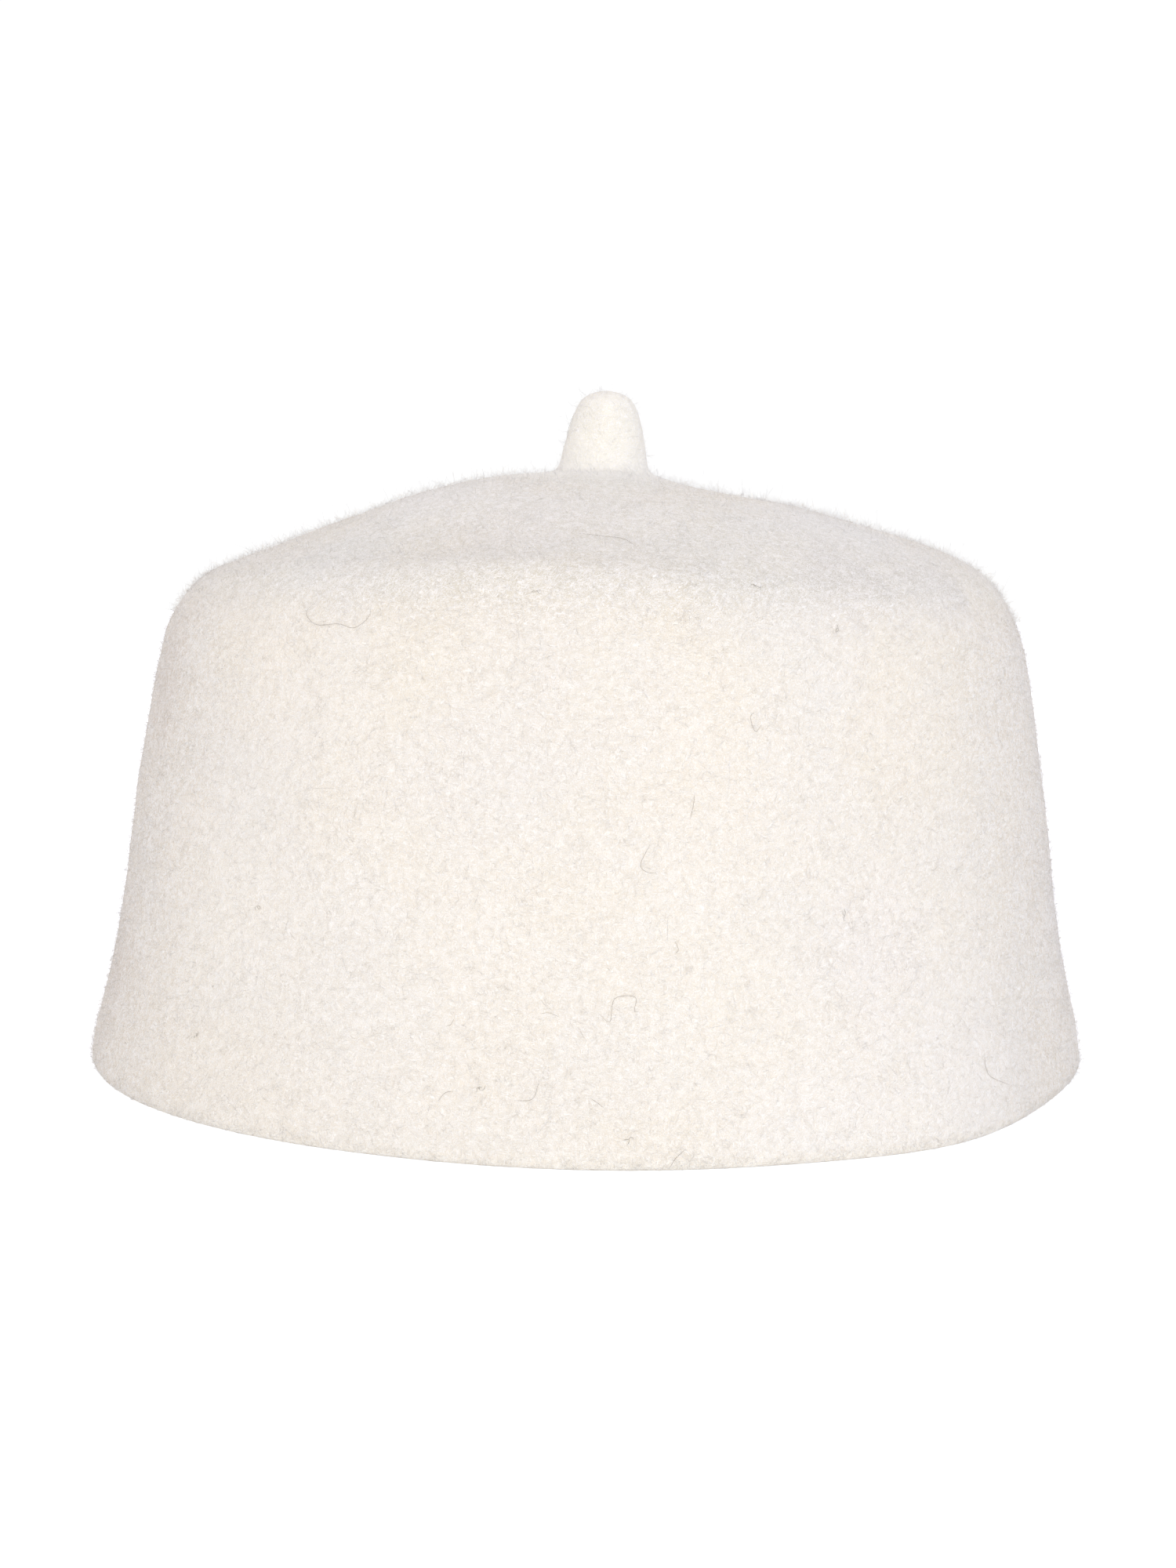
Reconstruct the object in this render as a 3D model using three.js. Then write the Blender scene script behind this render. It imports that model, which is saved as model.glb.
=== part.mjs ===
// A cap felted from white wool in one piece. Its wall flares at the hem, its shoulder is rounded, its crown is
// low and uneven, and the felt runs up into a short solid stub on top. The inside is hollow and open below.
// Millimetres, +Z up, front towards -Y. The origin is on the surface that the rim stands on.

import * as THREE from 'three';

// Sizes of the cap, outside unless they say otherwise
const rimWidth = 195;
const rimDepth = 203;
const wallTopWidth = 168.2;
const wallHeight = 80;
const crownHeight = 33.6;
const feltThickness = 3;
const rimEdgeRadius = 1;

// The stub stands a little right of the middle and leans the same way
const stubWidth = 16.6;
const stubHeight = 15.8;
const stubFillet = 3;
const stubLean = 2.1;

// How finely the felt is faceted: columns round the cap, the longest step and the largest turn along its section
const columns = 60;
const longestStep = 10;
const largestTurn = THREE.MathUtils.degToRad(17);
const edgeSteps = 2;
const filletSteps = 3;
const stubSteps = 7;

// The wall from the rim up. height is a share of wallHeight, and inset a share of what the wall draws in by
const wallSections = [
  { name: 'rim', height: 0.0, inset: 0.0 },
  { name: 'hem', height: 0.055, inset: 0.01 },
  { name: 'hem turn', height: 0.13, inset: 0.115 },
  { name: 'above the hem', height: 0.25, inset: 0.3 },
  { name: 'low wall', height: 0.4, inset: 0.445 },
  { name: 'middle', height: 0.62, inset: 0.62 },
  { name: 'high wall', height: 0.85, inset: 0.84 },
  { name: 'wall top', height: 1.0, inset: 1.0 },
];

// The crown from the wall top in. reach is a share of half of wallTopWidth, and rise a share of crownHeight
const crownSections = [
  { name: 'shoulder foot', reach: 0.975, rise: 0.165 },
  { name: 'shoulder', reach: 0.93, rise: 0.335 },
  { name: 'shoulder top', reach: 0.86, rise: 0.458 },
  { name: 'outer slope', reach: 0.72, rise: 0.603 },
  { name: 'middle slope', reach: 0.57, rise: 0.73 },
  { name: 'inner slope', reach: 0.42, rise: 0.852 },
  { name: 'flat', reach: 0.24, rise: 0.955 },
  { name: 'middle', reach: 0.0, rise: 1.0 },
];

// The stub from its foot up. radius is a share of half of stubWidth, and rise a share of stubHeight
const stubSections = [
  { name: 'side foot', radius: 1.0, rise: 0.2 },
  { name: 'low side', radius: 0.94, rise: 0.38 },
  { name: 'high side', radius: 0.82, rise: 0.62 },
  { name: 'side end', radius: 0.68, rise: 0.82 },
  { name: 'tip edge', radius: 0.46, rise: 0.95 },
  { name: 'tip', radius: 0.0, rise: 1.0 },
];

// Humps and hollows of the crown. angle and spread are degrees round the cap from its right side, with the front
// at -90. reach and width are shares of half of wallTopWidth, and lift is a share of crownHeight
const crownRelief = [
  { name: 'full right shoulder', angle: 0, spread: 42, reach: 0.84, width: 0.16, lift: 0.038 },
  { name: 'low left shoulder', angle: 180, spread: 42, reach: 0.76, width: 0.2, lift: -0.044 },
  { name: 'plateau left of the stub', angle: 180, spread: 60, reach: 0.32, width: 0.12, lift: 0.008 },
  { name: 'fall right of the stub', angle: 0, spread: 60, reach: 0.27, width: 0.14, lift: -0.088 },
  { name: 'front shoulder crest', angle: -100, spread: 20, reach: 0.92, width: 0.09, lift: 0.045 },
  { name: 'front right sag', angle: -58, spread: 20, reach: 0.92, width: 0.12, lift: -0.055 },
  { name: 'trough behind the crest', angle: -95, spread: 45, reach: 0.74, width: 0.1, lift: -0.04 },
  { name: 'left front swelling', angle: -135, spread: 22, reach: 0.5, width: 0.14, lift: 0.045 },
  { name: 'right back swelling', angle: 40, spread: 25, reach: 0.6, width: 0.16, lift: 0.04 },
  { name: 'back hollow', angle: 105, spread: 35, reach: 0.62, width: 0.16, lift: -0.05 },
];

// Humps and hollows of the wall. height and reach are shares of wallHeight, and depth is a share of half of rimWidth
const wallRelief = [
  { name: 'front right fullness', angle: -53, spread: 12, height: 0.0, reach: 0.35, depth: 0.027 },
  { name: 'front left flat', angle: -109, spread: 16, height: 0.0, reach: 0.35, depth: -0.013 },
  { name: 'right flat', angle: -27, spread: 14, height: 0.0, reach: 0.35, depth: -0.013 },
  { name: 'left fullness', angle: -150, spread: 14, height: 0.0, reach: 0.35, depth: 0.008 },
  { name: 'left flat', angle: 180, spread: 30, height: 0.25, reach: 0.32, depth: -0.005 },
  { name: 'front right hollow', angle: -62, spread: 13, height: 0.46, reach: 0.26, depth: -0.013 },
  { name: 'front left swelling', angle: -115, spread: 20, height: 0.6, reach: 0.3, depth: 0.008 },
  { name: 'back right hollow', angle: 50, spread: 20, height: 0.55, reach: 0.4, depth: -0.014 },
  { name: 'back left swelling', angle: 125, spread: 24, height: 0.35, reach: 0.4, depth: 0.012 },
];

// Within this share of the crown's half width the relief fades out, so that the middle stays one point
const calmShare = 0.2;

// The rim's edges can't be rounder than the felt is thick
const edgeRadius = Math.min(rimEdgeRadius, 0.4 * feltThickness);

const wool = new THREE.MeshStandardMaterial({ color: 0xf4eee4, roughness: 0.95, metalness: 0 });

// The section of the felt's outer face, from the middle of the crown down to the rim, without the stub
function shellCurve() {
  const halfTop = wallTopWidth / 2;
  const drawnIn = rimWidth / 2 - halfTop;
  const wall = wallSections.map(({ height, inset }) => (
    new THREE.Vector2(rimWidth / 2 - inset * drawnIn, height * wallHeight)
  ));
  const crown = crownSections.map(({ reach, rise }) => (
    new THREE.Vector2(reach * halfTop, wallHeight + rise * crownHeight)
  ));
  return new THREE.SplineCurve([...wall, ...crown].reverse());
}

// The share of the curve at which it first reaches a value, found by halving. measure grows along the curve
function shareWhere(curve, measure, value) {
  let low = 0;
  let high = 1;
  for (let step = 0; step < 40; step += 1) {
    const middle = (low + high) / 2;
    if (measure(curve.getPoint(middle)) < value) {
      low = middle;
    } else {
      high = middle;
    }
  }
  return low;
}

// Places along the curve between two shares, closer together where it turns
function stations(curve, first, last) {
  const samples = 400;
  const shares = [first];
  let spent = 0;
  let before = curve.getPoint(first);
  let heading = curve.getTangent(first).angle();
  for (let sample = 1; sample < samples; sample += 1) {
    const share = first + ((last - first) * sample) / samples;
    const point = curve.getPoint(share);
    const turned = curve.getTangent(share).angle();
    spent += point.distanceTo(before) / longestStep + Math.abs(turned - heading) / largestTurn;
    before = point;
    heading = turned;
    if (spent >= 1) {
      shares.push(share);
      spent = 0;
    }
  }
  shares.push(last);
  return shares;
}

// A point of the outer face, or of the inner face when inward is the felt's thickness
function onFelt(curve, share, inward) {
  const tangent = curve.getTangent(share);
  const towardsInside = new THREE.Vector2(tangent.y, -tangent.x);
  return curve.getPoint(share).addScaledVector(towardsInside, inward);
}

// The rim's two rounded edges with the flat that the cap stands on between them, from inside to outside
function rimEdge(innerRadius, outerRadius) {
  const inner = new THREE.EllipseCurve(
    innerRadius + edgeRadius, edgeRadius, edgeRadius, edgeRadius, Math.PI, 1.5 * Math.PI,
  );
  const outer = new THREE.EllipseCurve(
    outerRadius - edgeRadius, edgeRadius, edgeRadius, edgeRadius, -0.5 * Math.PI, 0,
  );
  return [...inner.getPoints(edgeSteps), ...outer.getPoints(edgeSteps)];
}

// The stub's section from the crown up, with the fillet that it rises out of the crown by
function stubProfile(foot) {
  const radius = stubWidth / 2;
  const crownTop = wallHeight + crownHeight;
  const side = stubSections.map((row) => new THREE.Vector2(row.radius * radius, crownTop + row.rise * stubHeight));
  const corner = new THREE.Vector2(radius, foot.y);
  const fillet = new THREE.QuadraticBezierCurve(foot, corner, side[0]).getPoints(filletSteps);
  const body = new THREE.SplineCurve(side).getPoints(stubSteps);
  return [...fillet, ...body.slice(1)];
}

// The whole closed section, from the inner middle round the rim to the stub's tip
function capProfile() {
  const shell = shellCurve();
  const stubFoot = shareWhere(shell, (point) => point.x, stubWidth / 2 + stubFillet);
  const rimStart = shareWhere(shell, (point) => -point.y, -2 * edgeRadius);
  const inner = stations(shell, 0, rimStart).map((share) => onFelt(shell, share, feltThickness));
  inner[0] = new THREE.Vector2(0, wallHeight + crownHeight - feltThickness);
  const outer = stations(shell, stubFoot, rimStart).map((share) => shell.getPoint(share)).reverse();
  const edge = rimEdge(inner[inner.length - 1].x, outer[0].x);
  const foot = outer[outer.length - 1];
  const profile = [...inner, ...edge, ...outer.slice(0, -1), ...stubProfile(foot)];
  profile[profile.length - 1].x = 0;
  return profile;
}

// How strongly a hump or hollow acts at an angle in degrees round the cap
function nearAngle(angle, row) {
  const apart = THREE.MathUtils.euclideanModulo(angle - row.angle + 180, 360) - 180;
  return Math.exp(-((apart / row.spread) ** 2));
}

// How strongly it acts at a distance along the other direction
function nearPlace(place, centre, width) {
  return Math.exp(-(((place - centre) / width) ** 2));
}

// Moves one point of the round, even cap to where the worn felt has it
function settle(point) {
  const radius = Math.hypot(point.x, point.y);
  const angle = THREE.MathUtils.radToDeg(Math.atan2(point.y, point.x));
  const reach = radius / (wallTopWidth / 2);
  const height = point.z / wallHeight;
  const onCrown = THREE.MathUtils.smoothstep(point.z, 0.75 * wallHeight, 1.1 * wallHeight);
  const calm = Math.min(1, (reach / calmShare) ** 2);
  let lift = 0;
  for (const row of crownRelief) {
    lift += row.lift * nearAngle(angle, row) * nearPlace(reach, row.reach, row.width);
  }
  let push = 0;
  for (const row of wallRelief) {
    push += row.depth * nearAngle(angle, row) * nearPlace(height, row.height, row.reach);
  }
  const top = wallHeight + crownHeight + stubHeight;
  const lean = stubLean * THREE.MathUtils.smoothstep(point.z, wallHeight, top);
  const stretch = radius > 0 ? 1 + (push * calm * rimWidth) / 2 / radius : 1;
  point.set(
    point.x * stretch + lean,
    point.y * stretch * (rimDepth / rimWidth),
    point.z + lift * calm * onCrown * crownHeight,
  );
}

function feltCap() {
  const geometry = new THREE.LatheGeometry(capProfile(), columns);
  geometry.rotateX(Math.PI / 2);
  const places = geometry.attributes.position;
  const point = new THREE.Vector3();
  for (let index = 0; index < places.count; index += 1) {
    point.fromBufferAttribute(places, index);
    settle(point);
    places.setXYZ(index, point.x, point.y, point.z);
  }
  geometry.computeVertexNormals();
  const mesh = new THREE.Mesh(geometry, wool);
  mesh.name = 'felt_cap';
  return mesh;
}

const cap = new THREE.Group();
cap.add(feltCap());

// The origin lies under the middle of the cap's box
const middle = new THREE.Box3().setFromObject(cap).getCenter(new THREE.Vector3());
cap.position.set(-middle.x, -middle.y, 0);

export default cap;
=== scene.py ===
"""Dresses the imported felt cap: its felt as a smooth, slightly lumpy body, and the nap and hairs on it.

It also makes the pale studio that the cap is seen in. It is laid out as an add-on and run as a script.
"""

import math
import random

import bmesh
import bpy
import numpy as np
from bpy.props import FloatProperty, FloatVectorProperty, IntProperty, PointerProperty
from mathutils import Matrix, Vector, noise
from mathutils.bvhtree import BVHTree


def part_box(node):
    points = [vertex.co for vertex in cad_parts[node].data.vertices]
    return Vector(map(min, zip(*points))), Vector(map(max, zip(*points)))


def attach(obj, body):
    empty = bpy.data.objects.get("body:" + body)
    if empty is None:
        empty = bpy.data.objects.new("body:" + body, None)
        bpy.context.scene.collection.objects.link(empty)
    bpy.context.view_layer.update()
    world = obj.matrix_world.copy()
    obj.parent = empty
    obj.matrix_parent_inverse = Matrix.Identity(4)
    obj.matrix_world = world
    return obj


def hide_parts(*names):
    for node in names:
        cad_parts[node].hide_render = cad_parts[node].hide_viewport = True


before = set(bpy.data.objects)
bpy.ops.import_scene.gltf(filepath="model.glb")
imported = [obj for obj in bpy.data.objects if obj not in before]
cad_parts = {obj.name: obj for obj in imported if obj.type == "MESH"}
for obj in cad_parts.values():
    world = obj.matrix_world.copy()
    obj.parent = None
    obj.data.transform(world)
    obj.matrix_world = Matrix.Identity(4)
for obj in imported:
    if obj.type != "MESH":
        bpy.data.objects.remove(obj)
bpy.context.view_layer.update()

bl_info = {
    "name": "Felt cap",
    "version": (1, 0, 0),
    "blender": (4, 5, 0),
    "location": "View3D > Sidebar > Felt Cap",
    "description": "Makes a white felted cap with its nap and stray hairs, and a pale studio for it",
    "category": "Object",
}

CAP_NODE = "felt_cap"
BODY = "root"
# A millimetre in metres, which every length here is in
MM = 0.001

# The cap's box gives the places that everything else is worked out from
cap_low, cap_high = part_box(CAP_NODE)
CAP_HEIGHT = cap_high.z - cap_low.z
CAP_MIDDLE = Vector((0.0, 0.0, 0.5 * CAP_HEIGHT))
HOLLOW_MIDDLE = Vector((0, 0, 0.35 * CAP_HEIGHT))
STUB_FOOT = cap_low.z + 0.878 * CAP_HEIGHT
STUB_SHIFT = 2 * MM
STUB_AIM = Vector((STUB_SHIFT, 0.0, 0.885 * CAP_HEIGHT))

# Sizes in the felt's patterns, and how many times longer than wide its strands are
STRAND_WIDTH = 0.16 * MM
STRAND_STRETCH = 8.0
BEND_SIZE = 1.6 * MM
BEND_REACH = 0.9 * MM
TUFT_SIZE = 1.1 * MM
DRIFT_SIZE = 5 * MM
BLOTCH_SIZE = 26 * MM
BLOTCH_SHIFTS = {"Warm": (0.0, 0.0, 0.0), "Grey": (0.31, 0.17, 0.05)}
# The lean and the turn of each set of strands, in degrees
STRAND_TURNS = ((55, 20), (60, 140), (80, 260), (15, 0))
# The Mix node's sockets for its factor and two colours, and the one for the mixed colour
MIX_INPUTS = (0, 6, 7)
MIX_OUTPUT = 2
# The stretch of each pattern's value over which it goes from none to full
STRAND_RANGE = (0.45, 0.8)
TUFT_RANGE = (0.34, 0.66)
BLOTCH_RANGE = (0.42, 0.66)
DRIFT_RANGE = (0.34, 0.68)
PIT_RANGE = (0.15, 0.75)

# How strong the warm blotches are at the hem and high on the wall, outside and in, and the grey ones' share
WARM_RISE = (0.0, 0.6 * CAP_HEIGHT)
HEM_WARMTH = 0.25
TOP_WARMTH = 1.2
OUTSIDE_WARMTH = 0.5
INSIDE_WARMTH = 0.9
GREY_SHARE = 0.6
# The parts of a patch's reach: its full core, its outer edge and how far the edge wanders
PATCH_CORE = 0.3
PATCH_EDGE = 1.4
PATCH_WOBBLE = 0.4
# The heights over which the stub's whiter wool with its painted glow, the painted highlight ring at its
# foot, the painted light at the hem's edge and the crown's wool change
STUB_RANGE = (STUB_FOOT - 3.2 * MM, STUB_FOOT - 1.2 * MM)
FOOT_HIGHLIGHT_RANGE = (STUB_FOOT + 1 * MM, STUB_FOOT + 7 * MM)
HEM_LIGHT_RANGE = (0.5 * MM, 3 * MM)
CROWN_RANGE = (0.64 * CAP_HEIGHT, 0.72 * CAP_HEIGHT)
# Where the mottle starts to deepen towards the sides as painted shade, as the sine of the angle from the
# front, and the share of that painted shade on the crown
SIDE_SHADE_START = 0.62
CROWN_SHADE_SHARE = 0.8
# The shares of strands, tufts and drifts in the tiny hollows, and how much of them is left on the stub
STRANDS_IN_PORES = 0.72
TUFTS_IN_PORES = 0.28
DRIFTS_IN_PORES = 0.1
PORES_ON_STUB = 0.2
WISP_START = 0.2
# How the felt and its fibres take the light
FELT_ROUGHNESS = (0.95, 0.82)
FIBRE_ROUGHNESS = 0.8
WOOL_SPECULAR = 0.05
BUMP_STRENGTH = 0.6
BUMP_DEPTH = 0.15 * MM

# How the solid's facets are made smooth, and the sizes and shares of the felt's lumps
MERGE_DISTANCE = 0.005 * MM
FLATTEST_FOLD = math.radians(40)
SQUAREST_CORNER = math.radians(60)
LUMPS = ((22 * MM, 1.0), (8 * MM, 0.45), (4 * MM, 0.22))
LUMPS_FULL_FROM = 3 * MM

# The least and the most slope of the fibres that lie along the felt, and of those that stand off it
LYING = (0.05, 0.6)
STANDING = (0.4, 2.6)
# A bent fibre's second half: its widest turn aside in radians, and its slope as a share of the first half's
WIDEST_SWING = 1.1
END_SLOPE = (-0.2, 0.9)
# The shares of the set length that a fibre has: its least, and the mean and the most of what chance adds
FIBRE_SHARES = (0.35, 0.45, 1.7)
DOWN_SHARES = (0.15, 0.4, 1.6)
FIBRE_WIDTHS = (0.8, 1.2)
# How far the down leans for each part that it rises, and how far up it is thickest
DOWN_TILT = (0.7, 3.0)
DOWN_BELLY = 0.3
# How deep a fibre is rooted, and how near the floor its tip may come
ROOT_DEPTH = 0.1 * MM
FLOOR_GAP = 0.1 * MM
# A fibre's section, and the corners of its faces: the root, the section's and the tip
SLIVER_SIDES = 3
FIBRE_FACES = ((0, 2, 1), (0, 3, 2), (0, 1, 3), (4, 1, 2), (4, 2, 3), (4, 3, 1))
DOWN_FACES = ((0, 2, 1), (0, 1, 3), (1, 2, 3), (2, 0, 3))
# These keep a vector, and a straight fibre's section, from shrinking to nothing
SMALLEST_LENGTH = 1e-12
SIDE_NUDGE = 0.1

# How dense the fibres are: along the hem's edge, inside the cap, on the crown and round the stub
HEM_EDGE = 2 * MM
HEM_DENSITY = 2.5
INSIDE_DENSITY = 0.1
CROWN_START = 0.68
CROWN_REACH = 0.08
BENT_LOSS_ON_CROWN = 0.75
DOWN_GAIN_ON_CROWN = 0.4
NEAR_STUB = 6 * MM
BARE_ROUND_STUB = 14 * MM
BARE_FADE = 20 * MM

# The hairs: how they taper, lie and wander, where invented ones may start, and lengths in millimetres
HAIR_SIDES = 5
HAIR_TIP = 0.35
HAIR_TAPER = 3.0
HAIR_LIFT = 0.12 * MM
HAIR_LEGS = 4
HAIR_CURL = 0.9
HAIR_WANDER = 0.5
HAIR_LENGTHS = (3, 12)
HAIRS_BEHIND = -30 * MM
HAIRS_ABOVE = cap_low.z + 6 * MM
HAIRS_IN_SPECK = 3
SPECK_LENGTHS = (0.7, 1.4)
# How many straight steps stand for each stretch of a seen hair, of an invented one and of a speck's
SEEN_STEPS = 6
LOOSE_STEPS = 5
SPECK_STEPS = 3

# The studio's lights, their places and widths in metres and the narrow ones' spread, and its white floor
FRONT_LAMP = Vector((0.0, -1.5, 0.25))
BACK_LAMP = Vector((0.0, 1.5, 0.25))
RIGHT_LAMP = Vector((1.5, 0.0, 0.3))
STUB_LAMPS = {"left stub light": Vector((-1.2, -0.9, 0.3)), "right stub light": Vector((1.2, -0.9, 0.3))}
WIDE_LAMP = 0.7
SIDE_LAMP = 0.6
STUB_LAMP = 0.05
STUB_SPREAD = math.radians(1.8)
SEEN_WHITE = 1.05
FLOOR_SIDES = 96
FLOOR_ROUGHNESS = 0.9
FLOOR_SPECULAR = 0.1
WHITE = (1.0, 1.0, 1.0, 1.0)

# The photograph, in its own pixels, and the camera that took it
PHOTO_WIDTH = 1500
PHOTO_HEIGHT = 2000
HORIZON_ROW = 745
CAMERA_LENS = 50
SENSOR_LONG_SIDE = 36
CAMERA_PLACE = Vector((-0.7 * MM, -434 * MM, 91.4 * MM))
CAMERA_ROLL = math.radians(0.8)
NEAREST_SEEN = 10 * MM
FOCAL_PIXELS = CAMERA_LENS / SENSOR_LONG_SIDE * PHOTO_HEIGHT
CAMERA_PITCH = math.atan((PHOTO_HEIGHT / 2 - HORIZON_ROW) / FOCAL_PIXELS)

# Stray hairs seen in the photograph, each by the pixels that it passes through
HAIRS_SEEN = {
    "left_loop": ((404, 768), (391, 782), (404, 797), (432, 796), (452, 801), (470, 788), (474, 772)),
    "crown_long": ((737, 681), (765, 684), (795, 688), (812, 698)),
    "kinked": ((764, 1293), (778, 1303), (784, 1274), (810, 1272), (809, 1289), (815, 1290)),
    "dark_hook": ((971, 925), (963, 933), (957, 915), (963, 908)),
    "short_line": ((886, 1011), (884, 1028), (880, 1045)),
    "curl": ((829, 1077), (817, 1102), (824, 1112), (838, 1114)),
    "right_arc": ((1255, 1343), (1257, 1362), (1264, 1374), (1287, 1384)),
    "low_tick": ((656, 1404), (679, 1402), (687, 1382)),
    "low_left_tick": ((569, 1309), (575, 1307), (579, 1300)),
    "low_line": ((753, 1401), (761, 1406), (770, 1413)),
    "middle_tick": ((861, 1201), (865, 1211), (861, 1217)),
    "left_of_kink": ((689, 1293), (701, 1292), (713, 1297)),
    "low_left_arc": ((559, 1404), (568, 1394), (579, 1392)),
    "rim_line": ((875, 1465), (862, 1477), (853, 1490)),
}
# Tinted patches seen in the photograph: the pixel at the middle, the reach, the tint and its strength. Some
# are painted light or painted shade, marked below.
PATCHES_SEEN = {
    "left_shoulder_warm": ((355, 825), 14 * MM, "yellow_patch", 0.9),
    "left_edge_warm": ((240, 1080), 12 * MM, "yellow_patch", 0.7),
    "middle_warm": ((900, 970), 20 * MM, "yellow_patch", 0.6),
    "right_warm": ((1145, 930), 16 * MM, "yellow_patch", 0.8),
    "right_hollow_pink": ((1120, 1220), 16 * MM, "pink_patch", 0.3),
    "crown_left_grey": ((440, 706), 18 * MM, "grey_patch", 0.6),
    "crown_middle_pink": ((660, 670), 20 * MM, "pink_patch", 0.4),
    "crown_right_grey": ((960, 712), 22 * MM, "grey_patch", 0.3),
    "crown_right_pale": ((1060, 682), 20 * MM, "pale_patch", 0.7),
    "crown_middle_pale": ((760, 650), 26 * MM, "pale_patch", 0.4),
    # Painted highlight: a white glow round the stub's foot.
    "stub_foot_pale": ((785, 610), 16 * MM, "foot_highlight_colour", 1.0),
    "right_hem_pale": ((1240, 1380), 26 * MM, "pale_patch", 0.5),
    "front_hem_pale": ((1040, 1455), 20 * MM, "pale_patch", 0.5),
    # Painted shade: the left edge darker and browner where it turns away from the light.
    "left_edge_brown": ((212, 870), 16 * MM, "painted_brown_shade", 0.8),
    "low_left_edge_brown": ((150, 1230), 16 * MM, "painted_brown_shade", 0.8),
    # Painted shade: the right edge and the right shoulder, where the felt turns away from the light.
    "right_edge_dim": ((1345, 1160), 18 * MM, "painted_shade_patch", 0.9),
    "right_shoulder_dim": ((1080, 732), 15 * MM, "painted_shade_patch", 0.9),
    "far_right_shoulder_dim": ((1190, 742), 12 * MM, "painted_shade_patch", 0.8),
    # Painted sheen: the crown paler along its far edge.
    "crown_right_horizon": ((1060, 668), 18 * MM, "pale_patch", 0.9),
    "crown_left_horizon": ((560, 632), 18 * MM, "pale_patch", 0.8),
    # Painted shade on the left shoulder and the upper wall.
    "left_shoulder_dim": ((450, 728), 11 * MM, "painted_shade_patch", 0.4),
    "upper_wall_dim": ((660, 930), 24 * MM, "painted_shade_patch", 0.35),
    # Painted light on the left and lower wall.
    "left_wall_bright": ((275, 1150), 20 * MM, "painted_light_patch", 0.9),
    "low_wall_bright": ((930, 1290), 24 * MM, "painted_light_patch", 0.5),
}
SPECKS_SEEN = {
    "below_shoulder": (683, 755),
    "on_shoulder": (965, 748),
    "right_shoulder": (1069, 802),
    "left_wall": (329, 1156),
    "low_left": (250, 1322),
    "low_middle": (802, 1453),
    "low_left_middle": (612, 1390),
    "right_wall": (1077, 1169),
}


def join(tree, start, end):
    """A link from an output to an input."""
    tree.links.new(start, end)


def remap(tree, value, low, high, to_low=0.0, to_high=1.0):
    """A smooth step of a value from one range to another."""
    node = tree.nodes.new("ShaderNodeMapRange")
    node.interpolation_type = "SMOOTHSTEP"
    for name, number in (("From Min", low), ("From Max", high), ("To Min", to_low), ("To Max", to_high)):
        node.inputs[name].default_value = number
    join(tree, value, node.inputs["Value"])
    return node.outputs["Result"]


def feed(tree, sockets, values):
    """Gives each input socket its value, which is another socket or a plain number, vector or colour."""
    for socket, value in zip(sockets, values):
        if isinstance(value, bpy.types.NodeSocket):
            join(tree, value, socket)
        else:
            socket.default_value = value


def maths(tree, operation, *values):
    """A Math node on sockets or numbers. It returns the node's output."""
    node = tree.nodes.new("ShaderNodeMath")
    node.operation = operation
    feed(tree, node.inputs, values)
    return node.outputs["Value"]


def vector_maths(tree, operation, *values, output="Vector"):
    """A Vector Math node on sockets or vectors. It returns the output that is named."""
    node = tree.nodes.new("ShaderNodeVectorMath")
    node.operation = operation
    feed(tree, node.inputs, values)
    return node.outputs[output]


def mix_colours(tree, factor, first, second, blend="MIX"):
    """A mix of colours, each a socket or a plain colour. It returns the mixed colour."""
    node = tree.nodes.new("ShaderNodeMix")
    node.data_type = "RGBA"
    node.blend_type = blend
    feed(tree, [node.inputs[index] for index in MIX_INPUTS], (factor, first, second))
    return node.outputs[MIX_OUTPUT]


def noise_texture(tree, place, scale, detail, roughness=0.5, distortion=0.0):
    """A noise pattern. scale is how many features fit in a metre. It returns the node's outputs."""
    node = tree.nodes.new("ShaderNodeTexNoise")
    sockets = [node.inputs[name] for name in ("Vector", "Scale", "Detail", "Roughness", "Distortion")]
    feed(tree, sockets, (place, scale, detail, roughness, distortion))
    return node.outputs


def opaque(colour):
    """A colour with full alpha."""
    return (*colour, 1.0)


def new_group(name, inputs, outputs):
    """A shader node group with named sockets. inputs are (name, kind, default), outputs (name, kind)."""
    tree = bpy.data.node_groups.new(name, "ShaderNodeTree")
    for label, kind, default in inputs:
        socket = tree.interface.new_socket(label, in_out="INPUT", socket_type=kind)
        if default is not None:
            socket.default_value = default
    for label, kind in outputs:
        tree.interface.new_socket(label, in_out="OUTPUT", socket_type=kind)
    return tree, tree.nodes.new("NodeGroupInput").outputs, tree.nodes.new("NodeGroupOutput").inputs


def place_group(tree, group, place):
    """A group set in a material, fed with the place on the surface. It returns the group's outputs."""
    node = tree.nodes.new("ShaderNodeGroup")
    node.node_tree = group
    join(tree, place, node.inputs["Place"])
    return node.outputs


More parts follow.
